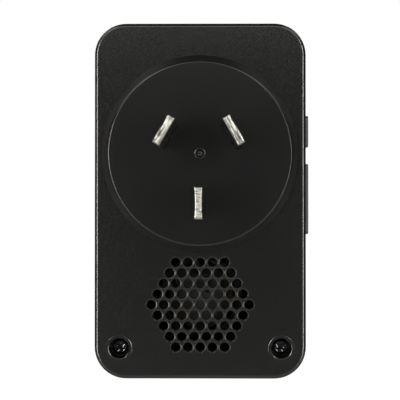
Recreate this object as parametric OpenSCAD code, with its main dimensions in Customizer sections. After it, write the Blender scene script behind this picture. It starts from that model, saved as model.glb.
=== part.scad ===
// Ultrasonic pest repeller with a flat-pin plug on its back.
// Millimetres. The origin is the centre of the plug boss face: +Y points along the plug pins,
// the front of the case faces -Y, and +Z is up. The side keys are on the -X wall.

/* [Case] */
// Width of the case
body_w = 45.9; // [44:0.1:48]
// Height of the case
body_h = 77.2; // [75:0.1:80]
// Height of the case's top edge above the plug centre
body_top = 28.4; // [27:0.1:30]
// Depth of the case between its rear and front faces
body_d = 27; // [26:0.5:30]
// Radius of the case's corners, seen from the back
corner_r = 6.9; // [5:0.1:8]
// Rounding of the rear edge
rear_edge_r = 0.8; // [0.5:0.1:1.2]
// Rounding of the front edge
front_edge_r = 2; // [1:0.1:2.5]
// Wall thickness of both covers
wall = 1.8; // [1.6:0.1:2]
// Depth from the rear face to the joint between the covers
rear_cover_d = 11; // [10.8:0.1:11.2]
// Width of the groove at the joint between the covers
seam_gap = 0.3; // [0.2:0.05:0.4]

/* [Plug] */
// How far the round boss stands out of the rear face
boss_h = 3; // [2.8:0.1:4]
// Radius of the boss at its face
boss_face_r = 19.75; // [19.5:0.05:20]
// Radius of the boss at its foot
boss_foot_r = 21.4; // [21:0.1:22]
// Width of each plug blade
blade_w = 6.35; // [6.3:0.01:6.4]
// Thickness of each plug blade
blade_t = 1.6; // [1.55:0.01:1.65]
// Distance of the active and neutral blades from the plug centre
power_pin_r = 7.92; // [7.9:0.01:7.95]
// Distance of the earth blade from the plug centre
earth_pin_r = 10.31; // [10.3:0.01:10.35]
// Length of the active and neutral blades beyond the boss face
power_pin_l = 17.06; // [16.9:0.01:17.2]
// Length of the earth blade beyond the boss face
earth_pin_l = 19.94; // [19.8:0.01:20.1]

/* [Sound grille] */
// Distance between neighbouring holes in a row
grille_pitch = 2.65; // [2.6:0.01:2.7]
// Diameter of a grille hole
grille_hole_d = 1.86; // [1.7:0.02:1.9]
// Holes along each side of the hexagonal field
grille_side = 5; // [3:1:5]
// Height of the middle of the grille
grille_z = -32.7; // [-33:0.1:-32.5]

/* [Screw wells] */
// Distance of each well from the middle of the case
well_x = 17.57; // [17.5:0.01:17.6]
// Height of the wells
well_z = -42.15; // [-42.2:0.01:-42.1]
// Radius of a well
well_r = 2.25; // [2.1:0.05:2.3]
// Depth of the screw head's top below the rear face
head_depth = 2.6; // [2.5:0.1:3.5]

/* [Keys] */
// Length of the short key
mode_l = 7.1; // [7:0.1:7.3]
// Height of the short key's middle
mode_z = 5.4; // [5.3:0.1:5.5]
// Length of the long key
rocker_l = 15.9; // [15.5:0.1:16]
// Height of the long key's middle, which is also its pivot
rocker_z = -9.9; // [-10:0.1:-9.8]
// Width of both keys
key_w = 4; // [3.8:0.1:4.2]
// How far the keys stand out of the side wall
key_proud = 1.4; // [1:0.1:1.6]

/* [Hidden] */
$fn = 48;

rear_y = -boss_h;
front_y = rear_y - body_d;
split_y = rear_y - rear_cover_d;
body_z = body_top - body_h / 2;
inner_x = body_w / 2 - wall;
inner_top = body_top - wall;
inner_rear_y = rear_y - wall;
inner_front_y = front_y + wall;

// Tongue of the rear cover, which fits inside the front cover's rim
tongue_t = wall / 2;
tongue_gap = 0.05;
rear_end_y = split_y + seam_gap / 2;
front_end_y = split_y - seam_gap / 2;
tongue_end_y = split_y - 1.5;

// Boss: face thickness, hollow behind it, and the pads that hold the pins
boss_skin = 2;
boss_hollow_r = 17.6;
boss_edge = 0.15;
pad_y = -5.5;
pad_r = 5.6;
gate_r = 0.95;
gate_nub_r = 0.5;
gate_depth = 0.5;
nub_top_depth = 0.12;
dish_r = 5.75;
dish_depth = 0.08;
gate_lip_r = 1.12;
gate_lip_h = 0.055;

// Pins: shoulder that stops each blade, tail that takes its lead, and the clamp plate over them
shoulder_w = 9;
shoulder_t = 2.8;
shoulder_y = -3.5;
tail_w = 3;
tail_t = 0.8;
tail_y = -10.5;
slot_gap = 0.05;
pin_bevel = 0.3;
tip_cut_r = 35;
tip_cut_depth = 0.2;
clamp_t = 2;
clamp_y = pad_y - clamp_t;
clamp_r = 16.2;
clamp_screw_r = 13.2;
clamp_post_r = 2.3;
CLAMP_SCREWS = [for (angle = [90, 210, 330]) clamp_screw_r * [cos(angle), sin(angle)]];
// Each pin: [angle of its place, distance from the centre, turn of the blade from upright]
PINS = [[150, power_pin_r, 150], [30, power_pin_r, 30], [270, earth_pin_r, 0]];

// Insulated leads behind the clamp plate
power_lead_r = 0.75;
lead_plane_y = -9.6;
lead_top_z = 16;

// Self-tapping screws: [shank radius, head radius, head height, shank length]
CASE_SCREW = [1.1, 1.7, 1.4, 10];
SMALL_SCREW = [0.9, 1.7, 1.2, 5];
SPEAKER_SCREW = [0.8, 1.5, 1, 4];
thread_gap = 0.02;
cross_w = 0.5;
cross_depth = 0.75;

// Screw wells and the posts that meet them
well_tube_r = 3.7;
well_seat_y = rear_y - head_depth - CASE_SCREW[2];
well_end_y = well_seat_y - 2.5;
rim_r = 2.9;
rim_h = 0.2;
case_post_r = 3;

// Main board
board_y = -12;
board_t = 1.6;
board_front_y = board_y - board_t;
BOARD_LOW = [-15.4, -18];
BOARD_HIGH = [19, 23.4];
BOARD_POSTS = [[15.5, 20.4], [-12, 20.4], [15.5, -15.2], [-12.6, -15.2]];
board_post_r = 2.6;

// Small axial parts on the board: [x, z, turn]
RESISTORS = [[-11, 4.5, 0], [-11, 2, 0], [0.8, -1, 90], [2.9, -1, 90], [0.8, -6.8, 90], [2.9, -6.8, 90]];
DIODES = [[9.5, -13.2, 0], [9.5, -15.8, 0], [-0.4, 11.5, 90]];

// Keys and the switches under them
key_y = split_y;
key_gap = 0.12;
rocker_end_gap = 0.3;
key_corner_r = 0.9;
key_out_x = -body_w / 2 - key_proud;
flange_lip = 1;
mode_flange_t = 1;
mode_flange_x = -inner_x + 0.15;
rocker_flange_t = 0.8;
rocker_flange_x = -20.6;
nib_x = -19.35;
rocker_arm = 5.5;
pivot_x = -19.6;
pivot_pin_r = 0.6;
pivot_bore_r = 0.63;
lug_r = 1.3;
lug_l = 6;
pivot_rear_y = -7;
pivot_front_y = -21;

switch_board_x = -17.2;
switch_board_t = 1;
SWITCH_BOARD_Z = [-21.2, 12.7];
SWITCH_BOARD_Y = [-20, -8];
GUIDE_Z = [11.1, -19.5];
switch_h = 1.8;
switch_w = 4.4;
switch_l = 3.5;
plunger_r = 0.9;
plunger_bore_r = 0.95;
plunger_base_r = 1.2;
plunger_x = nib_x + 0.05;
plunger_base_x = -18.15;
plunger_base_t = 0.3;

// Header between the two boards
header_pins = 4;
header_pitch = 1.27;
header_pin_w = 0.5;
header_y = board_front_y - header_pin_w / 2;

// Snap hooks along the top
HOOK_X = [-9, 9];
hook_w = 5;
hook_t = 1.2;
hook_z = inner_top - 2.7;
hook_tip_y = -7.4;
catch_y = -9;

// Transformer: ferrite core with a centre leg, bobbin and winding
transformer_x = 11;
transformer_z = -6;
core_w = 13;
core_t = 5;
core_leg_w = 3.4;
core_window = 3.2;
core_yoke = 1.7;
core_low_y = board_front_y - 1.2;
core_high_y = core_low_y - 10;
bobbin_wall = 0.6;
bobbin_h = 10.6;

// Light guide and the lamps behind it
LAMP_X = [-5, 0, 5];
lamp_z = 5;
lens_r = 1.2;
lens_gap = 0.02;

// Tweeter in front of the rear grille and behind the front one
speaker_r = 14;
speaker_bore_r = 12.4;
speaker_ledge_r = 11.2;
ear_x = 17.2;
ear_t = 1.5;
ear_post_r = 2;
mesh_r = 12.2;
mesh_t = 0.2;
gasket_t = 1;
frame_front_y = inner_front_y + gasket_t;
frame_rear_y = frame_front_y + 3.5;
ledge_y = frame_front_y + 1;
ledge_t = 0.6;
ear_y = frame_rear_y - ear_t;
ear_pilot_y = frame_rear_y - SPEAKER_SCREW[3] - 0.2;
basket_ring_y = -18.4;
basket_ring_t = 1.2;
basket_ring_r = 9.6;
basket_ring_bore_r = 8.2;
arm_w = 1.8;
cone_t = 0.35;
cone_wide_r = 11.4;
cone_narrow_r = 3.4;
piezo_y = -18.4;
piezo_r = 7.4;
piezo_t = 0.25;
ceramic_r = 5.4;
ceramic_t = 0.3;
lead_r = 0.45;

// ---------- shared shapes ----------

// Prism of an X-Z outline, from rear plane y1 to front plane y0
module prism_y(y1, y0) {
    translate([0, y1, 0])
        rotate([90, 0, 0])
            linear_extrude(y1 - y0)
                children();
}

// Prism of a Y-Z outline, from plane x0 to plane x1
module prism_x(x0, x1) {
    translate([x0, 0, 0])
        rotate([90, 0, 90])
            linear_extrude(x1 - x0)
                children();
}

// Round rod along Y at (x, z), from rear plane y1 to front plane y0
module rod_y(x, z, y1, y0, r) {
    translate([x, y1, z])
        rotate([90, 0, 0])
            cylinder(r = r, h = y1 - y0);
}

// Round rod along X at (y, z), from plane x0 to plane x1
module rod_x(y, z, x0, x1, r) {
    translate([x0, y, z])
        rotate([0, 90, 0])
            cylinder(r = r, h = x1 - x0);
}

// Block between two opposite corners
module block(low, high) {
    translate(low)
        cube(high - low);
}

// Rectangle w by h with rounded corners, centred
module rounded_rect(w, h, r) {
    square([w - 2 * r, h], center = true);
    square([w, h - 2 * r], center = true);
    for (x = [-1, 1], y = [-1, 1])
        translate([x * (w / 2 - r), y * (h / 2 - r)])
            circle(r);
}

// Outline of the case, drawn in by an inset
module case_outline(inset) {
    translate([0, body_z])
        rounded_rect(body_w - 2 * inset, body_h - 2 * inset, corner_r - inset);
}

// Quarter disc in the first quadrant
module quarter_disc(r) {
    intersection() {
        circle(r);
        square(r);
    }
}

// Plate as thick as its edge rounding, whose upper edge is rounded all round
module edge_rounded_plate(edge_r) {
    core_w = body_w - 2 * corner_r;
    core_h = body_h - 2 * corner_r;
    translate([-core_w / 2, -body_h / 2 + edge_r, 0])
        cube([core_w, body_h - 2 * edge_r, edge_r]);
    translate([-body_w / 2 + edge_r, -core_h / 2, 0])
        cube([body_w - 2 * edge_r, core_h, edge_r]);
    for (turn = [0, 180])
        rotate(turn) {
            translate([body_w / 2 - edge_r, core_h / 2, 0])
                rotate([90, 0, 0])
                    linear_extrude(core_h)
                        quarter_disc(edge_r);
            translate([-core_w / 2, body_h / 2 - edge_r, 0])
                rotate([90, 0, 90])
                    linear_extrude(core_w)
                        quarter_disc(edge_r);
        }
    for (corner = [[1, 1, 0], [-1, 1, 90], [-1, -1, 180], [1, -1, 270]])
        translate([corner[0] * core_w / 2, corner[1] * core_h / 2, 0])
            rotate(corner[2])
                rotate_extrude(angle = 90) {
                    square([corner_r - edge_r, edge_r]);
                    translate([corner_r - edge_r, 0])
                        quarter_disc(edge_r);
                }
}

// One chamfered hole of the sound grille, cut from the outer face inwards along -Z
module grille_hole() {
    chamfer = 0.22;
    translate([0, 0, -wall - 0.5])
        cylinder(d = grille_hole_d, h = wall + 1);
    translate([0, 0, -chamfer])
        cylinder(d1 = grille_hole_d, d2 = grille_hole_d + 2 * chamfer, h = chamfer);
    cylinder(d = grille_hole_d + 2 * chamfer, h = 0.5);
}

// Hexagonal field of grille holes on a face whose outward direction is +Z
module grille_field() {
    row_pitch = grille_pitch * sqrt(3) / 2;
    last_row = grille_side - 1;
    for (row = [-last_row : last_row]) {
        holes = 2 * grille_side - 1 - abs(row);
        for (i = [0 : holes - 1])
            translate([(i - (holes - 1) / 2) * grille_pitch, row * row_pitch, 0])
                grille_hole();
    }
}

// Shape drawn at the plug centre, moved out to a blade's place and turned to lie along it
module at_blade(angle, radius, turn) {
    translate([radius * cos(angle), 0, radius * sin(angle)])
        rotate([0, -turn, 0])
            children();
}

// Block of section w by t, from rear plane y1 to front plane y0
module blade_block(w, t, y1, y0) {
    block([-t / 2, y0, -w / 2], [t / 2, y1, w / 2]);
}

// Pan-head screw with a cross recess; its head's underside is at the origin, its shank runs along -Z
module screw(sizes) {
    shank_r = sizes[0];
    head_r = sizes[1];
    head_h = sizes[2];
    shank_l = sizes[3];
    difference() {
        rotate_extrude() {
            polygon([
                [0, 0], [head_r, 0], [head_r, head_h * 0.5], [head_r * 0.92, head_h * 0.82],
                [head_r * 0.74, head_h], [0, head_h]
            ]);
            polygon([[0, 0], [shank_r, 0], [shank_r, -shank_l + 1], [0, -shank_l]]);
        }
        for (turn = [45, 135])
            rotate(turn)
                translate([-head_r * 0.6, -cross_w / 2, head_h - cross_depth])
                    cube([head_r * 1.2, cross_w, cross_depth + 1]);
        translate([0, 0, head_h - cross_depth])
            cylinder(r1 = cross_w * 0.6, r2 = cross_w * 1.2, h = cross_depth);
    }
}

// Screw driven in from the rear, its head's underside at (x, y, z)
module screw_from_rear(x, y, z, sizes) {
    translate([x, y, z])
        rotate([-90, 0, 0])
            screw(sizes);
}

// Screw driven in from the front, its head's underside at (x, y, z)
module screw_from_front(x, y, z, sizes) {
    translate([x, y, z])
        rotate([90, 0, 0])
            screw(sizes);
}

// Unit vector along v
function unit(v) = v / norm(v);

// Corners of a ring, as offsets from its centre, slid along a run into the plane square to normal
function slid(ring, run, normal) = [for (offset = ring) offset - run * ((offset * normal) / (run * normal))];

// Ring of a tube's corners square to its first run
function first_ring(run, r, sides) =
    let (
        helper = abs(run[1]) < 0.9 ? [0, 1, 0] : [1, 0, 0],
        e1 = unit(cross(run, helper)),
        e2 = cross(run, e1)
    )
    [for (k = [0 : sides - 1]) r * (cos(360 * k / sides) * e1 + sin(360 * k / sides) * e2)];

// Tube of radius r swept along a route, mitred at its inner points
module lead(route, r) {
    sides = 10;
    last = len(route) - 1;
    along = [for (i = [0 : last - 1]) unit(route[i + 1] - route[i])];
    normals = [for (i = [0 : last]) unit(along[max(i - 1, 0)] + along[min(i, last - 1)])];
    rings = [
        for (i = 0, ring = first_ring(along[0], r, sides); i <= last; i = i + 1,
             ring = i <= last ? slid(ring, along[i - 1], normals[i]) : ring) ring
    ];
    corners = [for (i = [0 : last], offset = rings[i]) route[i] + offset];
    walls = [
        for (i = [0 : last - 1], k = [0 : sides - 1])
            let (low = i * sides, high = low + sides, next = (k + 1) % sides)
            [low + k, low + next, high + next, high + k]
    ];
    ends = [
        [for (k = [sides - 1 : -1 : 0]) k],
        [for (k = [0 : sides - 1]) last * sides + k]
    ];
    polyhedron(corners, concat(walls, ends), convexity = 4);
}

// Block that stands on the front of the main board
module on_board(x, z, w, h, tall) {
    block([x - w / 2, board_front_y - tall, z - h / 2], [x + w / 2, board_front_y, z + h / 2]);
}

// ---------- case ----------

// Clearance cut for a key through the side wall, with its end gap
module key_opening(z, length, end_gap) {
    prism_x(-body_w / 2 - 1, -inner_x + 1)
        translate([key_y, z])
            rounded_rect(key_w + 2 * key_gap, length + 2 * end_gap, key_corner_r + key_gap);
}

module key_openings() {
    key_opening(mode_z, mode_l, key_gap);
    key_opening(rocker_z, rocker_l, rocker_end_gap);
}

// Blocks that hold the ends of the switch board, from rear plane y1 to front plane y0
module board_guides(y1, y0) {
    for (z = GUIDE_Z)
        block([switch_board_x - 1.1, y0, z - 1.5], [switch_board_x + switch_board_t + 1.1, y1, z + 1.5]);
}

// Space that the switch board takes in its guides
module switch_board_space() {
    block([switch_board_x - slot_gap, SWITCH_BOARD_Y[0] - slot_gap, SWITCH_BOARD_Z[0] - slot_gap],
          [switch_board_x + switch_board_t + slot_gap, SWITCH_BOARD_Y[1] + slot_gap,
           SWITCH_BOARD_Z[1] + slot_gap]);
}

// Rib on the side wall that holds one end of the rocker's pivot pin
module pivot_rib(y1, y0) {
    block([-inner_x - 0.5, y0, rocker_z - 1.7], [pivot_x + 1.4, y1, rocker_z + 1.7]);
}

// Pocket for the pivot pin in both ribs
module pivot_pocket() {
    rod_y(pivot_x, rocker_z, pivot_rear_y + slot_gap, pivot_front_y - slot_gap, pivot_pin_r + thread_gap);
}

// Outer form of the rear cover: rounded rear edge, walls and the tongue inside the seam
module rear_shell() {
    edge_y = rear_y - rear_edge_r;
    translate([0, edge_y, body_z])
        rotate([-90, 0, 0])
            edge_rounded_plate(rear_edge_r);
    difference() {
        union() {
            prism_y(edge_y, rear_end_y)
                case_outline(0);
            prism_y(rear_end_y, tongue_end_y)
                case_outline(tongue_t);
        }
        prism_y(inner_rear_y, tongue_end_y - 1)
            case_outline(wall);
    }
}

// Solid boss with a small bevel round its face
module boss() {
    rotate([-90, 0, 0])
        rotate_extrude()
            polygon([
                [0, rear_y - 0.5], [boss_foot_r, rear_y - 0.5], [boss_foot_r, rear_y],
                [boss_face_r + boss_edge / 2, -boss_edge], [boss_face_r - boss_edge, 0], [0, 0]
            ]);
}

// Slots and pockets for one pin in the boss
module pin_slot(angle, radius, turn) {
    at_blade(angle, radius, turn) {
        blade_block(blade_w + 2 * slot_gap, blade_t + 2 * slot_gap, 1, pad_y - 1);
        blade_block(shoulder_w + 2 * slot_gap, shoulder_t + 2 * slot_gap, shoulder_y, pad_y - 1);
    }
}

// Mark left by the moulding gate: a shallow dish, and a pit with a sloping lip and a dimpled nub in it
module gate_mark() {
    rotate([90, 0, 0])
        cylinder(r1 = dish_r, r2 = gate_lip_r, h = dish_depth);
    translate([0, -dish_depth, 0])
        rotate([90, 0, 0])
            cylinder(r1 = gate_lip_r, r2 = gate_r, h = gate_lip_h);
    difference() {
        rod_y(0, 0, 1, -gate_depth, gate_r);
        rod_y(0, 0, 1, -gate_depth - 1, gate_nub_r);
    }
    rod_y(0, 0, 1, -nub_top_depth, gate_nub_r);
    translate([0, -nub_top_depth, 0])
        rotate([90, 0, 0])
            cylinder(r1 = gate_nub_r - 0.18, r2 = 0.08, h = 0.18);
}

module rear_cover() {
    color("#1d1d1f")
    difference() {
        union() {
            rear_shell();
            difference() {
                boss();
                rod_y(0, 0, -boss_skin, rear_y - 1, boss_hollow_r);
            }
            for (pin = PINS)
                rod_y(pin[1] * cos(pin[0]), pin[1] * sin(pin[0]), -boss_skin, pad_y, pad_r);
            for (spot = CLAMP_SCREWS)
                rod_y(spot[0], spot[1], -boss_skin, pad_y, clamp_post_r);
            for (post = BOARD_POSTS)
                rod_y(post[0], post[1], inner_rear_y, board_y, board_post_r);
            for (x = [-well_x, well_x]) {
                rod_y(x, well_z, inner_rear_y, well_end_y, well_tube_r);
                rod_y(x, well_z, rear_y + rim_h, rear_y - 0.5, rim_r);
            }
            for (x = HOOK_X)
                block([x - hook_w / 2, catch_y - 1.6, hook_z + hook_t + 0.2],
                      [x + hook_w / 2, catch_y, inner_top + 0.5]);
            board_guides(inner_rear_y, SWITCH_BOARD_Y[1] - 2);
            pivot_rib(inner_rear_y, key_y + lug_l / 2 + 0.2);
        }
        // Hollow of the boss, between its skin and the pads and posts
        difference() {
            rod_y(0, 0, -boss_skin, inner_rear_y - 0.5, boss_hollow_r);
            for (pin = PINS)
                rod_y(pin[1] * cos(pin[0]), pin[1] * sin(pin[0]), 0, pad_y, pad_r);
            for (spot = CLAMP_SCREWS)
                rod_y(spot[0], spot[1], 0, pad_y, clamp_post_r);
        }
        for (pin = PINS)
            pin_slot(pin[0], pin[1], pin[2]);
        for (spot = CLAMP_SCREWS)
            rod_y(spot[0], spot[1], -boss_skin - 0.3, pad_y - 1, SMALL_SCREW[0] + thread_gap);
        for (post = BOARD_POSTS)
            rod_y(post[0], post[1], board_y + SMALL_SCREW[3], board_y - 1, SMALL_SCREW[0] + thread_gap);
        for (x = [-well_x, well_x]) {
            rod_y(x, well_z, 1, well_seat_y, well_r);
            rod_y(x, well_z, 1, well_end_y - 1, CASE_SCREW[0] + 0.2);
        }
        gate_mark();
        translate([0, rear_y, grille_z])
            rotate([-90, 0, 0])
                grille_field();
        key_openings();
        pivot_pocket();
        switch_board_space();
    }
}

// Arm of the front cover, whose nose catches behind a ledge of the rear cover
module snap_hook(x) {
    left = x - hook_w / 2;
    right = x + hook_w / 2;
    block([left, inner_front_y - 0.2, hook_z], [right, hook_tip_y, hook_z + hook_t]);
    block([left, catch_y + 0.2, hook_z], [right, hook_tip_y, hook_z + 2 * hook_t]);
}

module front_cover() {
    edge_y = front_y + front_edge_r;
    color("#1d1d1f")
    difference() {
        union() {
            difference() {
                union() {
                    translate([0, edge_y, body_z])
                        rotate([90, 0, 0])
                            edge_rounded_plate(front_edge_r);
                    prism_y(front_end_y, edge_y)
                        case_outline(0);
                }
                prism_y(0, inner_front_y)
                    case_outline(wall);
                prism_y(0, tongue_end_y - 0.1)
                    case_outline(tongue_t - tongue_gap);
            }
            for (x = [-well_x, well_x])
                rod_y(x, well_z, well_end_y, inner_front_y - 0.2, case_post_r);
            for (x = [-ear_x, ear_x])
                rod_y(x, grille_z, ear_y, inner_front_y - 0.2, ear_post_r);
            for (x = HOOK_X)
                snap_hook(x);
            board_guides(SWITCH_BOARD_Y[0] + 1.5, inner_front_y - 0.2);
            pivot_rib(key_y - lug_l / 2 - 0.2, inner_front_y - 0.2);
        }
        for (x = [-well_x, well_x])
            rod_y(x, well_z, well_end_y + 1, well_seat_y - CASE_SCREW[3] - 0.5, CASE_SCREW[0] + thread_gap);
        for (x = [-ear_x, ear_x])
            rod_y(x, grille_z, ear_y + 1, ear_pilot_y, SPEAKER_SCREW[0] + thread_gap);
        translate([0, front_y, grille_z])
            rotate([90, 0, 0])
                grille_field();
        for (x = LAMP_X)
            rod_y(x, lamp_z, inner_front_y + 1, front_y - 1, lens_r + lens_gap);
        key_openings();
        pivot_pocket();
        switch_board_space();
    }
}

module case_screws() {
    color("#2b2b2d")
        for (x = [-well_x, well_x])
            screw_from_rear(x, well_seat_y, well_z, CASE_SCREW);
}

// ---------- plug ----------

// One plug pin: blade with a waisted tip, shoulder and solder tail
module plug_pin(pin, length) {
    at_blade(pin[0], pin[1], pin[2]) {
        difference() {
            rotate([0, 90, 0])
                translate([0, 0, -blade_t / 2])
                    linear_extrude(blade_t)
                        pin_outline(length);
            for (side = [-1, 1])
                translate([side * blade_t / 2, length, 0])
                    rotate([90, 0, 45 * side])
                        translate([side * (tip_cut_r - tip_cut_depth), 0, 0])
                            cylinder(r = tip_cut_r, h = 3, center = true, $fn = 360);
        }
        blade_block(shoulder_w, shoulder_t, shoulder_y, pad_y);
        blade_block(tail_w, tail_t, pad_y, tail_y);
    }
}

// Broad side of a blade, bevelled at its tip's corners
module pin_outline(length) {
    half = blade_w / 2;
    polygon([
        [-half, shoulder_y], [half, shoulder_y], [half, length - pin_bevel],
        [half - pin_bevel, length], [pin_bevel - half, length], [-half, length - pin_bevel]
    ]);
}

module active_pin() {
    color("#c9c4b4") plug_pin(PINS[0], power_pin_l);
}

module neutral_pin() {
    color("#c9c4b4") plug_pin(PINS[1], power_pin_l);
}

module earth_pin() {
    color("#c9c4b4") plug_pin(PINS[2], earth_pin_l);
}

module pin_clamp() {
    color("#e4e1d6")
    difference() {
        rod_y(0, 0, pad_y, clamp_y, clamp_r);
        for (pin = PINS)
            at_blade(pin[0], pin[1], pin[2])
                blade_block(tail_w + 2 * slot_gap, tail_t + 2 * slot_gap, 0, clamp_y - 1);
        for (spot = CLAMP_SCREWS)
            rod_y(spot[0], spot[1], 0, clamp_y - 1, SMALL_SCREW[0] + 0.1);
    }
}

module pin_clamp_screws() {
    color("silver")
        for (spot = CLAMP_SCREWS)
            screw_from_front(spot[0], clamp_y, spot[1], SMALL_SCREW);
}

// Insulated lead from a pin's tail to the rear of the main board
module power_lead(pin) {
    side = cos(pin[0]) > 0 ? 1 : -1;
    along = [-side * sin(30), 0, cos(30)];
    start = [pin[1] * cos(pin[0]), lead_plane_y, pin[1] * sin(pin[0])] + along * tail_w / 2;
    bend = start + along * 3;
    top = [bend[0], lead_plane_y, lead_top_z];
    lead([start, bend, bend + [0, 0, 1], top, top + [0, -0.6, 0.6], [top[0], board_y, lead_top_z + 0.6]],
         power_lead_r);
}

module active_lead() {
    color("#6b3f22") power_lead(PINS[0]);
}

module neutral_lead() {
    color("#2456a6") power_lead(PINS[1]);
}

// ---------- main board and what stands on it ----------

module main_board() {
    color("#1f5a36")
    difference() {
        block([BOARD_LOW[0], board_front_y, BOARD_LOW[1]], [BOARD_HIGH[0], board_y, BOARD_HIGH[1]]);
        for (post = BOARD_POSTS)
            rod_y(post[0], post[1], board_y + 1, board_front_y - 1, SMALL_SCREW[0] + 0.15);
    }
}

module board_screws() {
    color("silver")
        for (post = BOARD_POSTS)
            screw_from_front(post[0], board_front_y, post[1], SMALL_SCREW);
}

module x2_capacitor() {
    color("#d9b43a") on_board(5.5, 19, 15, 6, 11);
}

// Axial component: round body above the board, with a bent wire at each end
module axial_part(x, z, turn, body_r, body_l) {
    leg_r = 0.3;
    height = body_r + 0.2;
    reach = body_l / 2 + 0.8;
    translate([x, board_front_y - height, z])
        rotate([0, turn, 0]) {
            rod_x(0, 0, -body_l / 2, body_l / 2, body_r);
            for (side = [-1, 1]) {
                rod_x(0, 0, min(side * reach, 0), max(side * reach, 0), leg_r);
                translate([side * reach, 0, 0])
                    sphere(leg_r);
                rod_y(side * reach, 0, height, 0, leg_r);
            }
        }
}

module fuse_resistor() {
    color("#7fa7c9") axial_part(-4.6, 18, 90, 1.6, 7.6);
}

module resistors() {
    color("#c8a878")
        for (place = RESISTORS)
            axial_part(place[0], place[1], place[2], 0.9, 3.4);
}

module diodes() {
    color("#2a2a2a")
        for (place = DIODES)
            axial_part(place[0], place[1], place[2], 1, 3.6);
}

// Dual-in-line package with legs along its two long sides
module dip_package(x, z, w, h, legs) {
    leg_w = 0.5;
    leg_t = 0.3;
    leg_h = 2.2;
    leg_pitch = 2.54;
    block([x - w / 2, board_front_y - 3.7, z - h / 2], [x + w / 2, board_front_y - 0.5, z + h / 2]);
    for (side = [-1, 1], i = [0 : legs - 1])
        translate([x + (i - (legs - 1) / 2) * leg_pitch, board_front_y - leg_h, z + side * (h + leg_t) / 2])
            translate([-leg_w / 2, 0, -leg_t / 2])
                cube([leg_w, leg_h, leg_t]);
}

module bridge_rectifier() {
    color("#242424") dip_package(-11, 12, 8.2, 6.4, 2);
}

module controller_chip() {
    color("#242424") dip_package(-7, -3, 9.6, 6.4, 4);
}

// Upright can with a rolled groove near its foot
module can_capacitor(x, z, r, tall) {
    translate([x, board_front_y, z])
        rotate([90, 0, 0])
            rotate_extrude()
                polygon([
                    [0, 0], [r, 0], [r, 1.2], [r - 0.3, 1.6], [r, 2],
                    [r, tall - 0.4], [r - 0.4, tall], [0, tall]
                ]);
}

module electrolytic_capacitors() {
    color("#2b3a67") {
        can_capacitor(13, 9.5, 4, 12);
        can_capacitor(5, 11.5, 3.15, 11);
    }
}

// Opening of the transformer's centre leg and the tube round it
module leg_outline(grow) {
    square([core_leg_w + 2 * grow, core_t + 2 * grow], center = true);
}

module transformer_core() {
    color("#3b3b3d")
    translate([transformer_x, 0, transformer_z])
        difference() {
            prism_y(core_low_y, core_high_y)
                square([core_w, core_t], center = true);
            for (side = [-1, 1])
                prism_y(core_low_y - core_yoke, core_high_y + core_yoke)
                    translate([side * (core_leg_w / 2 + core_window / 2), 0])
                        square([core_window, core_t + 2], center = true);
        }
}

module transformer_bobbin() {
    color("#d8d2c0")
    translate([transformer_x, 0, transformer_z]) {
        prism_y(board_front_y, core_low_y)
            square([12.4, bobbin_h], center = true);
        for (side = [-1, 1])
            prism_y(core_low_y, core_low_y - core_yoke)
                translate([0, side * (bobbin_h / 2 + core_t / 2) / 2])
                    square([core_w - 4, bobbin_h / 2 - core_t / 2 - slot_gap], center = true);
        difference() {
            union() {
                prism_y(core_low_y - core_yoke, core_high_y + core_yoke)
                    leg_outline(bobbin_wall + slot_gap);
                for (y = [core_low_y - core_yoke, core_high_y + core_yoke + bobbin_wall])
                    prism_y(y, y - bobbin_wall)
                        square([core_leg_w + 2 * core_window - 0.2, bobbin_h], center = true);
            }
            prism_y(core_low_y, core_high_y)
                leg_outline(slot_gap);
        }
    }
}

module transformer_winding() {
    color("#b5652a")
    translate([transformer_x, 0, transformer_z])
        prism_y(core_low_y - core_yoke - bobbin_wall, core_high_y + core_yoke + bobbin_wall)
            difference() {
                rounded_rect(core_leg_w + 2 * core_window - 0.6, 9.8, 1.5);
                leg_outline(bobbin_wall + slot_gap);
            }
}

module transistors() {
    color("#242424")
        for (x = [-7.2, -2.2])
            translate([x, board_front_y, -11]) {
                prism_y(-2.5, -7)
                    intersection() {
                        circle(2.3);
                        translate([0, -0.8])
                            square([5, 4.6], center = true);
                    }
                for (leg = [-1.27, 0, 1.27])
                    block([leg - 0.2, -2.5, -0.2], [leg + 0.2, 0, 0.2]);
            }
}

module indicator_leds() {
    color("#dfe9df")
        for (x = LAMP_X) {
            rod_y(x, lamp_z, board_front_y, board_front_y - 1, 1.75);
            rod_y(x, lamp_z, board_front_y - 1, board_front_y - 3.8, 1.5);
            translate([x, board_front_y - 3.8, lamp_z])
                intersection() {
                    sphere(1.5);
                    block([-2, -2, -2], [2, 0, 2]);
                }
        }
}

// Light guides, joined by a bar that sits against the inside of the front cover
module indicator_lens() {
    bar_y = inner_front_y + 1.5;
    color([0.92, 0.95, 0.95, 0.8]) {
        for (x = LAMP_X) {
            rod_y(x, lamp_z, inner_front_y, front_y, lens_r);
            rod_y(x, lamp_z, board_front_y - 5.6, bar_y, 1.4);
        }
        prism_y(bar_y, inner_front_y)
            translate([0, lamp_z])
                rounded_rect(LAMP_X[2] - LAMP_X[0] + 3.6, 3.6, 1.6);
    }
}

// ---------- side switches and keys ----------

module switch_board() {
    color("#1f5a36")
    difference() {
        block([switch_board_x, SWITCH_BOARD_Y[0], SWITCH_BOARD_Z[0]],
              [switch_board_x + switch_board_t, SWITCH_BOARD_Y[1], SWITCH_BOARD_Z[1]]);
        header_pins_shape(slot_gap);
    }
}

// Row of square pins through the switch board, each grown by a clearance
module header_pins_shape(grow) {
    half = header_pin_w / 2 + grow;
    low_x = switch_board_x - 0.6;
    high_x = BOARD_LOW[0] + 2;
    for (i = [0 : header_pins - 1]) {
        z = rocker_z + (i - (header_pins - 1) / 2) * header_pitch;
        block([low_x, header_y - half, z - half], [high_x, header_y + half, z + half]);
    }
}

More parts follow.
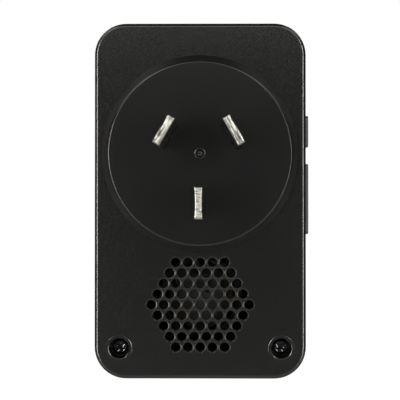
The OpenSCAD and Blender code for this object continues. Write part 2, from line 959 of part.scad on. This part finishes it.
module board_header() {
    color("#30302e") {
        header_pins_shape(0);
        block([switch_board_x + switch_board_t, board_front_y - 2, rocker_z - 2.6],
              [BOARD_LOW[0] + 1.2, board_front_y, rocker_z + 2.6]);
    }
}

// Tact switch on the side board, with the stepped bore of its plunger
module switch_body(z) {
    difference() {
        block([switch_board_x - switch_h, key_y - switch_w / 2, z - switch_l / 2],
              [switch_board_x, key_y + switch_w / 2, z + switch_l / 2]);
        rod_x(key_y, z, switch_board_x - switch_h + 0.5, switch_board_x - 0.2, plunger_base_r + 0.1);
        rod_x(key_y, z, switch_board_x - switch_h - 1, switch_board_x - 1, plunger_bore_r);
    }
}

module switch_bodies() {
    color("#3c3c3e")
        for (z = [mode_z, rocker_z + rocker_arm, rocker_z - rocker_arm])
            switch_body(z);
}

module plunger(z) {
    rod_x(key_y, z, plunger_x, plunger_base_x, plunger_r);
    rod_x(key_y, z, plunger_base_x, plunger_base_x + plunger_base_t, plunger_base_r);
}

module mode_plunger() {
    color("#d8d8d2") plunger(mode_z);
}

module upper_plunger() {
    color("#d8d8d2") plunger(rocker_z + rocker_arm);
}

module lower_plunger() {
    color("#d8d8d2") plunger(rocker_z - rocker_arm);
}

// Key cap through the side wall, ending at plane x_end, with a wider flange behind it
module key(z, length, x_end, flange_t) {
    translate([0, key_y, z]) {
        prism_x(key_out_x, x_end)
            rounded_rect(key_w, length, key_corner_r);
        prism_x(x_end, x_end + flange_t)
            rounded_rect(key_w + 2 * flange_lip, length + 2 * flange_lip, key_corner_r);
    }
}

module mode_button() {
    color("#2a2a2c") {
        key(mode_z, mode_l, mode_flange_x, mode_flange_t);
        rod_x(key_y, mode_z, mode_flange_x + mode_flange_t, nib_x, 1.1);
    }
}

module level_rocker() {
    color("#2a2a2c")
    difference() {
        union() {
            key(rocker_z, rocker_l, rocker_flange_x, rocker_flange_t);
            rod_y(pivot_x, rocker_z, key_y + lug_l / 2, key_y - lug_l / 2, lug_r);
            for (z = [rocker_z + rocker_arm, rocker_z - rocker_arm])
                rod_x(key_y, z, rocker_flange_x + rocker_flange_t, nib_x, 0.8);
        }
        rod_y(pivot_x, rocker_z, key_y + lug_l, key_y - lug_l, pivot_bore_r);
    }
}

module rocker_pin() {
    color("silver") rod_y(pivot_x, rocker_z, pivot_rear_y, pivot_front_y, pivot_pin_r);
}

// ---------- tweeter ----------

module speaker_frame() {
    color("#262628")
    translate([0, 0, grille_z])
        difference() {
            union() {
                rod_y(0, 0, frame_rear_y, frame_front_y, speaker_r);
                prism_y(frame_rear_y, ear_y)
                    rounded_rect(2 * ear_x + 4, 4.4, 2);
                rod_y(0, 0, basket_ring_y, basket_ring_y - basket_ring_t, basket_ring_r);
                for (angle = [45 : 90 : 315])
                    rotate([0, angle, 0])
                        translate([0, 0, -arm_w / 2])
                            linear_extrude(arm_w)
                                polygon([
                                    [speaker_r - 0.4, frame_rear_y - 0.5],
                                    [speaker_r - 1.1, frame_rear_y - 0.5],
                                    [basket_ring_bore_r + 0.3, basket_ring_y - 1],
                                    [basket_ring_bore_r + 0.3, basket_ring_y - 0.2],
                                    [basket_ring_r - 0.3, basket_ring_y - 0.2]
                                ]);
            }
            rod_y(0, 0, frame_rear_y, ledge_y + ledge_t, speaker_bore_r);
            rod_y(0, 0, ledge_y, frame_front_y - 1, speaker_bore_r);
            rod_y(0, 0, frame_rear_y, frame_front_y - 1, speaker_ledge_r);
            rod_y(0, 0, 0, frame_rear_y, basket_ring_bore_r);
            for (x = [-ear_x, ear_x])
                rod_y(x, 0, 0, ear_y - 1, SPEAKER_SCREW[0] + 0.1);
        }
}

// Thin cone whose wide rim sits on the frame's ledge and whose narrow end carries the piezo disc
module speaker_cone() {
    rim_y = ledge_y - cone_t;
    color("#4a4640")
    translate([0, 0, grille_z])
        rotate([-90, 0, 0])
            rotate_extrude()
                polygon([
                    [speaker_bore_r - 0.1, rim_y], [speaker_bore_r - 0.1, ledge_y],
                    [cone_wide_r - 0.6, ledge_y], [cone_narrow_r, piezo_y - piezo_t],
                    [cone_narrow_r - 0.5, piezo_y - piezo_t], [cone_wide_r - 1.1, rim_y]
                ]);
}

module piezo_disc() {
    color("#b08d3c") rod_y(0, grille_z, piezo_y, piezo_y - piezo_t, piezo_r);
}

module piezo_ceramic() {
    color("#9aa79c") rod_y(0, grille_z, piezo_y + ceramic_t, piezo_y, ceramic_r);
}

module speaker_gasket() {
    color("#3a3a3c")
        difference() {
            rod_y(0, grille_z, frame_front_y, inner_front_y, speaker_r);
            rod_y(0, grille_z, 0, front_y, mesh_r + 0.1);
        }
}

module speaker_mesh() {
    color("#141416") rod_y(0, grille_z, inner_front_y + mesh_t, inner_front_y, mesh_r);
}

module speaker_screws() {
    color("silver")
        for (x = [-ear_x, ear_x])
            screw_from_rear(x, frame_rear_y, grille_z, SPEAKER_SCREW);
}

module speaker_connector() {
    color("#e8e2cf") on_board(2.5, -15.4, 5, 3.8, 4.5);
}

// Two leads from the piezo element, past the frame, up into the connector
module speaker_leads() {
    bend_y = piezo_y + 2;
    plug_y = board_front_y - 2.2;
    color("#1c1c1c")
        for (run = [[-1.5, piezo_y + ceramic_t, 1.5, 1.3], [5.8, piezo_y, 3, 3.7]]) {
            foot = [run[0], run[1], grille_z + run[2]];
            lead([
                foot, [foot[0], bend_y - 0.5, foot[2]], [foot[0], bend_y, foot[2] + 0.6],
                [run[3], plug_y, -23.5], [run[3], plug_y, -22.5], [run[3], plug_y, -17.3]
            ], lead_r);
        }
}

rear_cover();
front_cover();
case_screws();
active_pin();
neutral_pin();
earth_pin();
pin_clamp();
pin_clamp_screws();
active_lead();
neutral_lead();
main_board();
board_screws();
x2_capacitor();
fuse_resistor();
bridge_rectifier();
electrolytic_capacitors();
transformer_core();
transformer_bobbin();
transformer_winding();
controller_chip();
transistors();
resistors();
diodes();
indicator_leds();
indicator_lens();
switch_board();
board_header();
switch_bodies();
mode_plunger();
upper_plunger();
lower_plunger();
mode_button();
level_rocker();
rocker_pin();
speaker_frame();
speaker_cone();
speaker_gasket();
speaker_mesh();
speaker_screws();
piezo_disc();
piezo_ceramic();
speaker_connector();
speaker_leads();
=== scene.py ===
import bpy
import math
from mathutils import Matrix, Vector


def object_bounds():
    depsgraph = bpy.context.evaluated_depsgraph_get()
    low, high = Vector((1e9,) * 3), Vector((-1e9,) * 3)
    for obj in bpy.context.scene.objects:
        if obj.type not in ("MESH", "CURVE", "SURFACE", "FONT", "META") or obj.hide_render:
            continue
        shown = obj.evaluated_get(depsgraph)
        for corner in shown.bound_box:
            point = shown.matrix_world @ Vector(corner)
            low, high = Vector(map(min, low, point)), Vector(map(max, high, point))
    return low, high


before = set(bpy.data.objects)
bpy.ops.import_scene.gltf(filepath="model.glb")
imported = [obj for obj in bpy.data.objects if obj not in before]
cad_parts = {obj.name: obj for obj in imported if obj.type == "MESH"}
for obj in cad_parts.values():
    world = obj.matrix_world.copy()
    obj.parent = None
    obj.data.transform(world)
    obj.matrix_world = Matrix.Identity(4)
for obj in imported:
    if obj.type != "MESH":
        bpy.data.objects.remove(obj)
CAD_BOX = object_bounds()
MM = 0.001

# Camera: its place in millimetres, yaw and pitch in degrees, and the lens
CAMERA_AT = (-3.0, 200.0, -7.84)
CAMERA_TURN = (0.48, 0.45)
CAMERA_SHIFT = (-0.0153, -0.0435)
CAMERA_LENS = 84.3
CAMERA_SENSOR = 36
CAMERA_CLIP = (0.01, 10)

# Plug boss and gate mark, in millimetres, round the plug's axis
BOSS_FACE_R = 19.75
BOSS_FOOT_R = 21.4
BOSS_H = 3.0
GATE_LIP_R = 1.12
GATE_LIP_SLACK = 0.05
GATE_LIP_DEPTH = 0.3

# Edges: what is merged, and the turn in degrees from which an outward edge is rounded
WELD = 0.002
BEVEL_ANGLE = 22

# Floor: how far it lies below the part and reaches, in metres, and its glow on the part and to the eye
FLOOR_DROP = 0.20
FLOOR_HALF = 8.0
FLOOR_GLOW = (0.06, 1.0)

# Light: the glow of the surroundings, and the lamps' colour, distance and aim, in metres
STUDIO_GLOW = 0.04
LAMP_COLOUR = (1.0, 0.99, 0.95)
LAMP_DISTANCE = 0.65
LAMP_TARGET = (0.0, -0.013, -0.010)


# ---------------------------------------------------------------- camera

def make_camera():
    """The plug side, seen from 200 mm, with the lens a little off level."""
    data = bpy.data.cameras.new("camera")
    data.sensor_width = CAMERA_SENSOR
    data.lens = CAMERA_LENS
    data.shift_x, data.shift_y = CAMERA_SHIFT
    data.clip_start, data.clip_end = CAMERA_CLIP
    cam = bpy.data.objects.new("camera", data)
    bpy.context.scene.collection.objects.link(cam)
    cam.location = [v * MM for v in CAMERA_AT]
    yaw, pitch = (math.radians(v) for v in CAMERA_TURN)
    look = Vector((math.sin(yaw) * math.cos(pitch), -math.cos(yaw) * math.cos(pitch), math.sin(pitch)))
    cam.rotation_mode = "QUATERNION"
    cam.rotation_quaternion = look.to_track_quat("-Z", "Y")
    bpy.context.scene.camera = cam


make_camera()


# ---------------------------------------------------------------- node helpers

def feed(tree, socket, value):
    """Links an output to a socket, or sets the socket to a plain value."""
    if isinstance(value, bpy.types.NodeSocket):
        tree.links.new(value, socket)
    else:
        socket.default_value = value


def add_node(tree, kind, inputs=(), **settings):
    """Adds a node with its settings, and feeds its inputs."""
    made = tree.nodes.new(kind)
    for key, value in settings.items():
        setattr(made, key, value)
    for key, value in dict(inputs).items():
        feed(tree, made.inputs[key], value)
    return made


def round_axis(tree, place):
    """Distance from the plug's axis, and height along it, of a place in object space."""
    spot = add_node(tree, "ShaderNodeSeparateXYZ", {0: place}).outputs
    flat = add_node(tree, "ShaderNodeCombineXYZ", {"X": spot["X"], "Z": spot["Z"]}).outputs[0]
    radius = add_node(tree, "ShaderNodeVectorMath", {0: flat}, operation="LENGTH").outputs["Value"]
    return radius, spot["Y"]


class Finish:
    """One node material. Lengths are in millimetres and textures sit in object space."""

    def __init__(self, name, colour, rough, metal=0.0):
        self.mat = bpy.data.materials.new(name)
        self.mat.use_nodes = True
        self.tree = self.mat.node_tree
        self.shader = self.tree.nodes["Principled BSDF"]
        self.set("Base Color", (*colour, 1))
        self.set("Roughness", rough)
        self.set("Metallic", metal)
        self.place = self.node("ShaderNodeTexCoord").outputs["Object"]
        self.normal = None

    def node(self, kind, inputs=(), **settings):
        return add_node(self.tree, kind, inputs, **settings)

    def set(self, key, value):
        feed(self.tree, self.shader.inputs[key], value)

    def stretched(self, place, scale):
        """A place with each axis scaled, for grain that runs one way."""
        return self.node("ShaderNodeVectorMath", {0: place, 1: scale}, operation="MULTIPLY").outputs[0]

    def noise(self, size, detail=2.0, along=None, rough=0.5):
        """Noise whose features are about size millimetres across, 0 to 1."""
        return self.node("ShaderNodeTexNoise",
                         {"Vector": along or self.place, "Scale": 1 / (size * MM),
                          "Detail": detail, "Roughness": rough}).outputs["Fac"]

    def between(self, fac, low, high, start=0.3, end=0.7):
        """fac from start to end mapped to low to high."""
        return self.node("ShaderNodeMapRange",
                         {"Value": fac, "From Min": start, "From Max": end, "To Min": low,
                          "To Max": high}).outputs["Result"]

    def blend(self, fac, first, second):
        """Colour from first to second as fac goes from 0 to 1."""
        mix = self.node("ShaderNodeMix", {0: fac}, data_type="RGBA")
        for key, value in ((6, first), (7, second)):
            feed(self.tree, mix.inputs[key], (*value, 1) if isinstance(value, tuple) else value)
        return mix.outputs[2]

    def bump(self, height, depth):
        """Adds a height texture; depth is in millimetres."""
        inputs = {"Height": height, "Distance": depth * MM, "Strength": 1.0}
        if self.normal:
            inputs["Normal"] = self.normal
        self.normal = self.node("ShaderNodeBump", inputs).outputs["Normal"]
        self.set("Normal", self.normal)


# ---------------------------------------------------------------- kinds of finish

def two_tone(name, first, second, rough, size=3.0, metal=0.0):
    """A finish whose colour and roughness both wander a little."""
    made = Finish(name, first, rough[0], metal)
    made.set("Base Color", made.blend(made.between(made.noise(size, 3.0), 0, 1), first, second))
    made.set("Roughness", made.between(made.noise(size * 0.45, 3.0), *rough))
    return made


def grained_plastic(name, first, second, rough, grain=0.16, depth=0.012, spots=5.0):
    """Moulded plastic from a spark-eroded tool."""
    made = two_tone(name, first, second, rough, spots)
    made.bump(made.noise(grain, 3.0, rough=0.65), depth)
    made.bump(made.noise(grain * 4, 1.0), depth * 0.8)
    return made


def smooth_plastic(name, first, second, rough):
    """Moulded plastic from a polished tool, with faint flow marks."""
    made = two_tone(name, first, second, rough)
    made.bump(made.noise(0.9, 2.0), 0.004)
    made.bump(made.noise(0.12, 1.0), 0.0012)
    return made


def metal(name, first, second, rough, grain_axis="Z", depth=0.002):
    """Drawn or plated metal with fine lines along one axis."""
    made = two_tone(name, first, second, rough, 2.2, metal=1.0)
    squeeze = {"X": (0.05, 1, 1), "Y": (1, 0.05, 1), "Z": (1, 1, 0.05)}[grain_axis]
    made.bump(made.noise(0.06, 2.0, along=made.stretched(made.place, squeeze)), depth)
    return made


def pin_finish(name, turn, streak, score=0.26):
    """Nickel plate with painted light: smooth broad sides given a colour darker than nickel as painted
    shade, and a satin tip, scored one way by the cropping tool, given a brighter colour whose scores swing
    from near black to bright as painted sheen.
    turn is the blade's lean in degrees; streak stretches the scores along and across it."""
    made = Finish(name, (0.80, 0.77, 0.70), 0.16, 1.0)
    lean = made.node("ShaderNodeVectorRotate",
                     {"Vector": made.place, "Angle": math.radians(turn)}, rotation_type="Y_AXIS").outputs[0]
    scores = made.noise(score, 4.0, along=made.stretched(lean, streak), rough=0.7)
    blots = made.noise(1.6, 2.0)
    facing = made.node("ShaderNodeSeparateXYZ",
                       {0: made.node("ShaderNodeTexCoord").outputs["Normal"]}).outputs["Y"]
    # Painted light: the tip, facing +Y, gets a lighter colour than the broad sides
    tip = made.between(facing, 0, 1, 0.80, 0.95)
    # Painted sheen on real scores: the scores swing the tip's colour from near black to bright
    scores_and_painted_sheen = made.blend(made.between(scores, 0, 1, 0.42, 0.58), (0.10, 0.095, 0.08), (0.95, 0.93, 0.86))
    scores_and_painted_sheen = made.blend(made.between(blots, 0, 0.4, 0.5, 0.7), scores_and_painted_sheen, (0.36, 0.35, 0.29))
    # Painted shade: the broad sides get a colour well below nickel's own
    plate = made.blend(blots, (0.34, 0.33, 0.29), (0.46, 0.44, 0.39))
    made.set("Base Color", made.blend(tip, plate, scores_and_painted_sheen))
    made.set("Roughness", made.between(tip, 0.13, 0.34, 0, 1))
    made.bump(scores, 0.006)
    return made


def dull_flank(case):
    """Makes the sloping flank of the plug boss more matt than the faces around it."""
    radius, height = round_axis(case.tree, case.place)
    inside = case.between(radius, 1, 0, (BOSS_FOOT_R + 0.02) * MM, (BOSS_FOOT_R + 0.06) * MM)
    outside = case.between(radius, 0, inside, (BOSS_FACE_R + 0.05) * MM, (BOSS_FACE_R + 0.12) * MM)
    flank = case.between(height, 0, outside, (0.06 - BOSS_H) * MM, (0.12 - BOSS_H) * MM)
    plain = case.shader.inputs["Roughness"].links[0].from_socket
    matt = case.between(case.noise(0.5, 3.0), 0.38, 0.46)
    case.set("Roughness", case.between(flank, plain, matt, 0, 1))


# ---------------------------------------------------------------- finishes

# Each slot's kind of finish, its two colours, its least and most roughness, and what else differs
RECIPES = {
    "case_plastic": (grained_plastic, (0.0024, 0.0024, 0.0025), (0.0040, 0.0039, 0.0038), (0.155, 0.26),
                     {"depth": 0.002, "spots": 0.5}),
    "key_plastic": (grained_plastic, (0.030, 0.030, 0.032), (0.036, 0.036, 0.037), (0.40, 0.50),
                    {"grain": 0.13, "depth": 0.006}),
    "screw_steel": (metal, (0.050, 0.049, 0.050), (0.085, 0.083, 0.084), (0.12, 0.18),
                    {"grain_axis": "Y", "depth": 0.001}),
    "zinc_steel": (metal, (0.55, 0.56, 0.58), (0.68, 0.67, 0.63), (0.26, 0.40), {}),
    # Painted shade: brass gets a near-black colour, far darker than brass, so that it reads shaded behind
    # the grille
    "brass": (metal, (0.030, 0.024, 0.014), (0.058, 0.044, 0.026), (0.30, 0.44), {"grain_axis": "X"}),
    "copper_winding": (metal, (0.62, 0.24, 0.10), (0.76, 0.34, 0.16), (0.24, 0.38), {"grain_axis": "X"}),
    "clamp_plastic": (smooth_plastic, (0.42, 0.40, 0.36), (0.50, 0.48, 0.43), (0.40, 0.52), {}),
    "brown_insulation": (smooth_plastic, (0.10, 0.035, 0.015), (0.13, 0.048, 0.02), (0.34, 0.46), {}),
    "blue_insulation": (smooth_plastic, (0.012, 0.05, 0.28), (0.018, 0.07, 0.34), (0.34, 0.46), {}),
    "circuit_board": (smooth_plastic, (0.012, 0.11, 0.035), (0.018, 0.15, 0.05), (0.26, 0.38), {}),
    "capacitor_yellow": (smooth_plastic, (0.62, 0.42, 0.045), (0.70, 0.50, 0.07), (0.36, 0.48), {}),
    "capacitor_sleeve": (smooth_plastic, (0.012, 0.014, 0.03), (0.02, 0.022, 0.045), (0.20, 0.32), {}),
    "resistor_blue": (smooth_plastic, (0.06, 0.19, 0.36), (0.08, 0.24, 0.42), (0.30, 0.42), {}),
    "resistor_tan": (smooth_plastic, (0.52, 0.36, 0.20), (0.60, 0.43, 0.25), (0.36, 0.48), {}),
    "component_black": (grained_plastic, (0.012, 0.012, 0.013), (0.02, 0.02, 0.021), (0.44, 0.58),
                        {"grain": 0.08}),
    "ferrite": (grained_plastic, (0.018, 0.018, 0.019), (0.03, 0.029, 0.03), (0.42, 0.6), {"grain": 0.10}),
    "lamp_epoxy": (smooth_plastic, (0.40, 0.05, 0.04), (0.48, 0.08, 0.06), (0.10, 0.18), {}),
    "clear_lens": (smooth_plastic, (0.72, 0.73, 0.74), (0.80, 0.80, 0.81), (0.10, 0.18), {}),
    "plunger_plastic": (smooth_plastic, (0.70, 0.68, 0.62), (0.78, 0.76, 0.70), (0.36, 0.48), {}),
    "speaker_plastic": (smooth_plastic, (0.003, 0.003, 0.003), (0.006, 0.006, 0.006), (0.20, 0.28), {}),
    "cone_paper": (two_tone, (0.022, 0.021, 0.020), (0.035, 0.033, 0.031), (0.6, 0.8), {"size": 1.4}),
    "foam": (two_tone, (0.018, 0.018, 0.019), (0.034, 0.034, 0.035), (0.85, 0.97), {"size": 0.8}),
    "mesh_cloth": (two_tone, (0.02, 0.02, 0.021), (0.04, 0.04, 0.041), (0.7, 0.88), {"size": 0.6}),
    # Painted shade: the silvered ceramic gets a near-black colour, far darker than its own, so that it
    # reads shaded behind the grille
    "ceramic": (smooth_plastic, (0.010, 0.015, 0.014), (0.026, 0.031, 0.027), (0.32, 0.46), {}),
    "black_insulation": (smooth_plastic, (0.010, 0.010, 0.011), (0.016, 0.016, 0.017), (0.34, 0.46), {}),
}
FINISHES = {slot: kind(slot, first, second, rough, **rest)
            for slot, (kind, first, second, rough, rest) in RECIPES.items()}
dull_flank(FINISHES["case_plastic"])

PIN_FINISHES = {
    "active_pin": pin_finish("pin_metal_active", -30, (1, 1, 0.10)),
    "neutral_pin": pin_finish("pin_metal_neutral", 30, (1, 1, 0.10)),
    "earth_pin": pin_finish("pin_metal_earth", 0, (0.06, 1, 1), 0.15),
}

for name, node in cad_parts.items():
    for place in node.material_slots:
        slot = place.material.name.split(".")[0]
        place.material = (PIN_FINISHES.get(name) or FINISHES[slot]).mat


# ---------------------------------------------------------------- edges

def mark_edges(name, attribute, data_type, choose):
    """Node group that stores an attribute on each edge; choose makes its value."""
    group = bpy.data.node_groups.new(name, "GeometryNodeTree")
    for way in ("INPUT", "OUTPUT"):
        group.interface.new_socket("Mesh", in_out=way, socket_type="NodeSocketGeometry")
    mesh = add_node(group, "NodeGroupInput").outputs[0]
    mark = add_node(group, "GeometryNodeStoreNamedAttribute",
                    {"Geometry": mesh, "Name": attribute, "Value": choose(group)},
                    data_type=data_type, domain="EDGE")
    add_node(group, "NodeGroupOutput", {0: mark.outputs["Geometry"]})
    return group


def stands_out(group):
    """1 on each edge that stands out by more than BEVEL_ANGLE."""
    turn = add_node(group, "GeometryNodeInputMeshEdgeAngle").outputs["Signed Angle"]
    return add_node(group, "ShaderNodeMath", {0: turn, 1: math.radians(BEVEL_ANGLE)},
                    operation="GREATER_THAN").outputs[0]


def on_gate_lip(group):
    """1 on each edge of the ring where the gate mark's lip leaves the face."""
    radius, height = round_axis(group, add_node(group, "GeometryNodeInputPosition").outputs[0])
    near = add_node(group, "ShaderNodeMath", {0: radius, 1: GATE_LIP_R * MM, 2: GATE_LIP_SLACK * MM},
                    operation="COMPARE").outputs[0]
    top = add_node(group, "ShaderNodeMath", {0: height, 1: -GATE_LIP_DEPTH * MM},
                   operation="GREATER_THAN").outputs[0]
    return add_node(group, "ShaderNodeMath", {0: near, 1: top}, operation="MULTIPLY").outputs[0]


OUTWARD = mark_edges("outward_edges", "bevel_weight_edge", "FLOAT", stands_out)
GATE_RING = mark_edges("crisp_ring", "sharp_edge", "BOOLEAN", on_gate_lip)


def soften(name, width, segments=2):
    """Rounds a moulded or stamped node's outward edges by a hair, in modifiers."""
    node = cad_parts[name]
    weld = node.modifiers.new("weld", "WELD")
    weld.merge_threshold = WELD * MM
    marks = node.modifiers.new("marks", "NODES")
    marks.node_group = OUTWARD
    edge = node.modifiers.new("edge", "BEVEL")
    edge.width = width * MM
    edge.segments = segments
    edge.limit_method = "WEIGHT"
    edge.use_clamp_overlap = False
    edge.loop_slide = False
    edge.miter_outer = "MITER_ARC"


soften("rear_cover", 0.10)
soften("front_cover", 0.10)
soften("case_screws", 0.12, 3)
for name in ("mode_button", "level_rocker"):
    soften(name, 0.15, 3)
for name in ("active_pin", "neutral_pin", "earth_pin"):
    soften(name, 0.05)

# A crisp ring keeps the shading of the gate mark's lip from spreading over the face
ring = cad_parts["rear_cover"].modifiers.new("ring", "NODES")
ring.node_group = GATE_RING


# ---------------------------------------------------------------- floor and light

def make_floor():
    """A wide level sheet of white paper, well below the part so that it casts no shadow there."""
    low, half = CAD_BOX[0].z - FLOOR_DROP, FLOOR_HALF
    mesh = bpy.data.meshes.new("floor")
    mesh.from_pydata([(x, y, low) for x, y in ((-half, -half), (half, -half), (half, half), (-half, half))],
                     [], [(0, 1, 2, 3)])
    floor = bpy.data.objects.new("floor", mesh)
    bpy.context.scene.collection.objects.link(floor)
    paper = Finish("floor_paper", (0.50, 0.50, 0.50), 0.9)
    paper.set("Base Color", paper.blend(paper.between(paper.noise(400, 1), 0, 1),
                                        (0.48, 0.48, 0.48), (0.51, 0.51, 0.51)))
    paper.set("Emission Color", (1, 1, 1, 1))
    seen = paper.node("ShaderNodeLightPath").outputs["Is Camera Ray"]
    paper.set("Emission Strength", paper.between(seen, *FLOOR_GLOW, 0, 1))
    mesh.materials.append(paper.mat)


def make_world():
    """White to look at, but a dimmer studio to be lit by."""
    world = bpy.data.worlds.new("world")
    world.use_nodes = True
    tree = world.node_tree
    dim = tree.nodes["Background"]
    dim.inputs["Color"].default_value = (1, 1, 1, 1)
    dim.inputs["Strength"].default_value = STUDIO_GLOW
    white = add_node(tree, "ShaderNodeBackground", {"Color": (1, 1, 1, 1), "Strength": 1.0})
    seen = add_node(tree, "ShaderNodeLightPath").outputs["Is Camera Ray"]
    mix = add_node(tree, "ShaderNodeMixShader", {0: seen, 1: dim.outputs[0], 2: white.outputs[0]})
    tree.links.new(mix.outputs[0], tree.nodes["World Output"].inputs["Surface"])
    bpy.context.scene.world = world


def softbox(name, off, turn, half, radiance):
    """A square of light aimed at the part. It stands off degrees away from the +Y axis,
    turned from +X towards +Z; half is its half width and half height in degrees."""
    off, turn = math.radians(off), math.radians(turn)
    away = Vector((math.sin(off) * math.cos(turn), math.cos(off), math.sin(off) * math.sin(turn)))
    data = bpy.data.lights.new(name, "AREA")
    data.shape = "RECTANGLE"
    data.size, data.size_y = (2 * LAMP_DISTANCE * math.tan(math.radians(v)) for v in half)
    data.energy = radiance * math.pi * data.size * data.size_y
    data.color = LAMP_COLOUR
    lamp = bpy.data.objects.new(name, data)
    bpy.context.scene.collection.objects.link(lamp)
    lamp.location = Vector(LAMP_TARGET) + LAMP_DISTANCE * away
    lamp.rotation_mode = "QUATERNION"
    lamp.rotation_quaternion = (-away).to_track_quat("-Z", "Y")


make_floor()
make_world()
softbox("left_strip", 32.5, -2, (3.5, 23), 37)
softbox("right_strip", 32.5, 179, (4, 22), 27)
softbox("upper_left", 54, 58, (10, 10), 5.0)
softbox("upper_right", 54, 122, (10, 10), 3.2)
softbox("left_rim", 95, 45, (12, 12), 2.2)
softbox("right_rim", 95, 135, (12, 12), 1.8)
softbox("overhead", 24, 90, (20, 7), 3.1)
softbox("low_front", 24, 270, (20, 6), 0.35)
softbox("left_side", 76, 4, (9, 9), 1.8)
softbox("low_side", 80, 262, (16, 8), 5.5)
softbox("front_fill", 155, 70, (22, 22), 2.0)

bpy.context.scene.view_settings.view_transform = "Standard"
